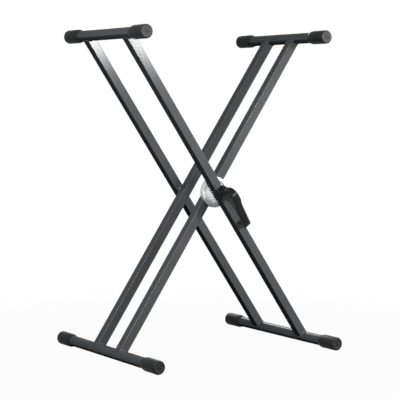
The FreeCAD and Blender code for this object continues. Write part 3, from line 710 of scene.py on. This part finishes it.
def dress(names, material):
    """Gives a finish to CAD nodes."""
    for name in names:
        slots = NODES[name].data.materials
        if slots:
            slots[0] = material
        else:
            slots.append(material)


def of_slot(slot):
    """The CAD nodes that take a material slot of the record."""
    found = [part["node"] for part in frame["record"]["subparts"] if part["material_slot"] == slot]
    if not found:
        raise RuntimeError("no node takes the slot " + slot)
    return found


# Operators

class PaintFrames(bpy.types.Operator):
    """Powder-coats the legs and the bars"""
    bl_idname = "stand.paint_frames"
    bl_label = "Paint the frames"

    def execute(self, context):
        dress(of_slot("frame_paint"), powder_coat(context.scene.stand_finish))
        return {"FINISHED"}


class WeldFrames(bpy.types.Operator):
    """Lays rippled weld beads where the legs meet the bars"""
    bl_idname = "stand.weld_frames"
    bl_label = "Weld the frames"

    def execute(self, context):
        sizes = context.scene.stand_sizes
        paint = bpy.data.materials["charcoal_powder_coat"]
        for side in ("outer", "inner"):
            beads = []
            for bar in ("top", "foot"):
                for leg in ("front", "rear"):
                    points = bead_points(sizes, middle("%s_%s_bar" % (side, bar)), middle("%s_leg_%s" % (side, leg)).y)
                    name = "%s_%s_%s_bead" % (side, bar, leg)
                    beads.append(grid_piece(name, points, True, paint, side + "_frame"))
            joined(side + "_beads", beads, [side + "_weld_beads"])
        return {"FINISHED"}


class MouldCaps(bpy.types.Operator):
    """Moulds the rubber end caps"""
    bl_idname = "stand.mould_caps"
    bl_label = "Mould the caps"

    def execute(self, context):
        sizes = context.scene.stand_sizes
        material = rubber(context.scene.stand_finish)
        for node in of_slot("cap_rubber"):
            side, level, _, end = node.split("_")
            sign = 1 if end == "rear" else -1
            low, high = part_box(node)
            end_y = high[1] if sign > 0 else low[1]
            points = cap_points(sizes, middle("%s_%s_bar" % (side, level)), end_y, sign)
            grid_piece("moulded_" + node, points, False, material, side + "_frame", [node])
        return {"FINISHED"}


class MouldTrigger(bpy.types.Operator):
    """Gives the trigger and its bracket their plastic"""
    bl_idname = "stand.mould_trigger"
    bl_label = "Mould the trigger"

    def execute(self, context):
        dress(of_slot("trigger_plastic"), moulded_plastic(context.scene.stand_finish))
        return {"FINISHED"}


class CastDisc(bpy.types.Operator):
    """Casts the index disc with its radial teeth"""
    bl_idname = "stand.cast_disc"
    bl_label = "Cast the disc"

    def execute(self, context):
        sizes = context.scene.stand_sizes
        material = cast_aluminium(context.scene.stand_finish)
        low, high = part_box("index_disc")
        points = disc_points(sizes, low[1], high[1])
        disc = grid_piece("toothed_disc", points, True, material, "inner_frame", ["index_disc"])
        at = places_of(disc)
        reach = np.hypot(at[:, 0] - PIVOT.x, at[:, 2] - PIVOT.z)
        angle = np.arctan2(at[:, 2] - PIVOT.z, at[:, 0] - PIVOT.x)
        toothed = (reach > sizes.tooth_start) & (reach < sizes.tooth_end + 0.0002) & (at[:, 1] < low[1] + 0.008)
        share = np.clip((reach - sizes.tooth_start) / (sizes.tooth_end - sizes.tooth_start), 0, 1) ** 2
        # Painted shade as an attribute: darker towards the bottom of the disc, and more in the roots between the teeth.
        lower = np.clip(0.1 - 2.2 * np.sin(angle) * reach / sizes.disc_d, 0, 1)
        root = toothed * share * (0.5 - 0.5 * np.cos(sizes.disc_teeth * angle))
        note(disc, "painted_shade", lower * (0.7 + 0.3 * root))
        note(disc, "skin", reach > sizes.tooth_end + 0.0008)
        return {"FINISHED"}


class PlateFasteners(bpy.types.Operator):
    """Plates the pins, screws, washers, spring and pawl, and cuts the pivot bolts' threads"""
    bl_idname = "stand.plate_fasteners"
    bl_label = "Plate the fasteners"

    def execute(self, context):
        sizes = context.scene.stand_sizes
        steel = plated_steel(context.scene.stand_finish)
        dress(of_slot("plated_steel"), steel)
        for node, body in (("front_pivot_bolt", "outer_frame"), ("rear_pivot_bolt", "inner_frame")):
            low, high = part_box(node)
            points = bolt_points(sizes, high[1], low[1], -1)
            grid_piece("threaded_" + node, points, False, steel, body, [node])
        return {"FINISHED"}


class FitBearings(bpy.types.Operator):
    """Gives the sleeves and the thrust washer their nylon"""
    bl_idname = "stand.fit_bearings"
    bl_label = "Fit the bearings"

    def execute(self, context):
        dress(of_slot("bearing_nylon"), nylon(context.scene.stand_finish))
        return {"FINISHED"}


class StickLabel(bpy.types.Operator):
    """Sticks a plain blank label on the front inner leg"""
    bl_idname = "stand.stick_label"
    bl_label = "Stick the label"

    def execute(self, context):
        sizes = context.scene.stand_sizes
        along = np.array((middle("inner_top_bar") - middle("inner_foot_bar")).normalized())
        out = np.array([-along[2], 0.0, along[0]])
        across = np.array([0.0, 1.0, 0.0])
        place = np.array(PIVOT) + sizes.label_rise * along + sizes.leg_side / 2 * out
        place[1] = middle("inner_leg_front").y
        points = label_points(sizes, place, along, across, out)
        label = grid_piece("blank_label", points, False, blank_label(context.scene.stand_finish), "inner_frame")
        away = places_of(label) - place
        reach = np.maximum(np.abs(away @ along) - sizes.label_length / 2, np.abs(away @ across) - sizes.label_width / 2)
        note(label, "border", (reach > -0.00212) & (reach < -0.00158))
        return {"FINISHED"}


def add_softbox(name, place, aim, size, power):
    """An area lamp at a place, turned to face a point."""
    lamp = bpy.data.lights.new(name, "AREA")
    lamp.shape = "RECTANGLE"
    lamp.size, lamp.size_y = size
    lamp.energy = power
    holder = bpy.data.objects.new(name, lamp)
    holder.location = place
    holder.rotation_euler = (Vector(aim) - Vector(place)).to_track_quat("-Z", "Y").to_euler()
    bpy.context.scene.collection.objects.link(holder)
    return holder


def seen_rays(tree):
    """1 for rays from the camera and for those that metal and glass send on."""
    path = add_node(tree, "ShaderNodeLightPath").outputs
    seen = math_node(tree, "MAXIMUM", path["Is Camera Ray"], path["Is Glossy Ray"])
    return math_node(tree, "MAXIMUM", seen, path["Is Transmission Ray"])


class SetStage(bpy.types.Operator):
    """Lays the floor and sets the light and the camera"""
    bl_idname = "stand.set_stage"
    bl_label = "Set the stage"

    def execute(self, context):
        stage = context.scene.stand_stage
        self.lay_floor()
        self.set_world(context.scene, stage)
        add_softbox("main_softbox", (0.385, -1.13, 0.98), (0, 0, 0.5), (0.14, 0.14), stage.main)
        add_softbox("side_softbox", (1.25, -0.75, 0.5), (0.05, 0, 0.45), (0.5, 0.5), stage.side)
        high = add_softbox("high_softbox", (-0.8, -1.4, 1.65), (0, 0, 0.45), (0.3, 0.3), stage.high)
        add_softbox("rear_softbox", (0.9, 1.7, 1.2), (0, 0, 0.5), (0.7, 0.7), stage.rear)
        left = add_softbox("left_softbox", (-1.15, -0.5, 0.8), (0, 0, 0.5), (0.5, 0.5), stage.left)
        add_softbox("front_softbox", (-0.62, -1.9, 0.85), (0, 0, 0.6), (0.4, 0.4), stage.front)
        high.data.color = left.data.color = stage.cool
        self.place_camera(context.scene, stage)
        context.scene.view_settings.view_transform = "Standard"
        return {"FINISHED"}

    def lay_floor(self):
        half = 30.0
        mesh = bpy.data.meshes.new("floor")
        corners = [(-half, -half, 0), (half, -half, 0), (half, half, 0), (-half, half, 0)]
        mesh.from_pydata(corners, [], [(0, 1, 2, 3)])
        floor = bpy.data.objects.new("floor", mesh)
        bpy.context.scene.collection.objects.link(floor)
        material = bpy.data.materials.new("pale_floor")
        material.use_nodes = True
        tree = material.node_tree
        tree.nodes.clear()
        matt = add_node(tree, "ShaderNodeBsdfDiffuse", None, {"Color": (0.06, 0.06, 0.06, 1)})
        white = add_node(tree, "ShaderNodeEmission", None, {"Color": (1, 1, 1, 1), "Strength": 1.0})
        place = add_node(tree, "ShaderNodeTexCoord").outputs["Object"]
        away = add_node(tree, "ShaderNodeVectorMath", {"operation": "LENGTH"}, {0: place}).outputs["Value"]
        share = math_node(tree, "MULTIPLY", seen_rays(tree), ramp(tree, away, 0.5, 1.6, 0.965, 1.0))
        both = add_node(tree, "ShaderNodeMixShader", None,
                        {0: share, 1: matt.outputs["BSDF"], 2: white.outputs["Emission"]})
        add_node(tree, "ShaderNodeOutputMaterial", None, {"Surface": both.outputs["Shader"]})
        mesh.materials.append(material)

    def set_world(self, scene, stage):
        world = bpy.data.worlds.new("studio")
        scene.world = world
        world.use_nodes = True
        tree = world.node_tree
        tree.nodes.clear()
        strength = ramp(tree, seen_rays(tree), 0.0, 1.0, stage.ambient, 1.0)
        light = add_node(tree, "ShaderNodeBackground", None, {"Color": (1, 1, 1, 1), "Strength": strength})
        add_node(tree, "ShaderNodeOutputWorld", None, {"Surface": light.outputs["Background"]})

    def place_camera(self, scene, stage):
        data = bpy.data.cameras.new("camera")
        data.lens = stage.lens
        data.sensor_width = 36.0
        camera = bpy.data.objects.new("camera", data)
        scene.collection.objects.link(camera)
        level = math.cos(stage.height)
        back = Vector((-math.sin(stage.turn) * level, -math.cos(stage.turn) * level, math.sin(stage.height)))
        camera.location = Vector(stage.target) + back * stage.distance
        camera.rotation_euler = (-back).to_track_quat("-Z", "Y").to_euler()
        scene.camera = camera


STEPS = (PaintFrames, WeldFrames, MouldCaps, MouldTrigger, CastDisc, PlateFasteners, FitBearings, StickLabel, SetStage)


class StandPanel(bpy.types.Panel):
    """Lists the steps and the sizes and colours that they use"""
    bl_idname = "VIEW3D_PT_stand"
    bl_label = "Keyboard stand"
    bl_space_type = "VIEW_3D"
    bl_region_type = "UI"
    bl_category = "Stand"

    def draw(self, context):
        for group in (context.scene.stand_sizes, context.scene.stand_finish, context.scene.stand_stage):
            box = self.layout.box()
            for name in group.bl_rna.properties.keys():
                if name not in ("rna_type", "name"):
                    box.prop(group, name)
        for step in STEPS:
            self.layout.operator(step.bl_idname)


CLASSES = (StandSizes, StandFinish, StandStage) + STEPS + (StandPanel,)


def register():
    for item in CLASSES:
        bpy.utils.register_class(item)
    bpy.types.Scene.stand_sizes = bpy.props.PointerProperty(type=StandSizes)
    bpy.types.Scene.stand_finish = bpy.props.PointerProperty(type=StandFinish)
    bpy.types.Scene.stand_stage = bpy.props.PointerProperty(type=StandStage)


def unregister():
    del bpy.types.Scene.stand_stage
    del bpy.types.Scene.stand_finish
    del bpy.types.Scene.stand_sizes
    for item in reversed(CLASSES):
        bpy.utils.unregister_class(item)


def main():
    register()
    for step in STEPS:
        group, name = step.bl_idname.split(".")
        getattr(getattr(bpy.ops, group), name)()
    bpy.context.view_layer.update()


if __name__ == "__main__":
    main()
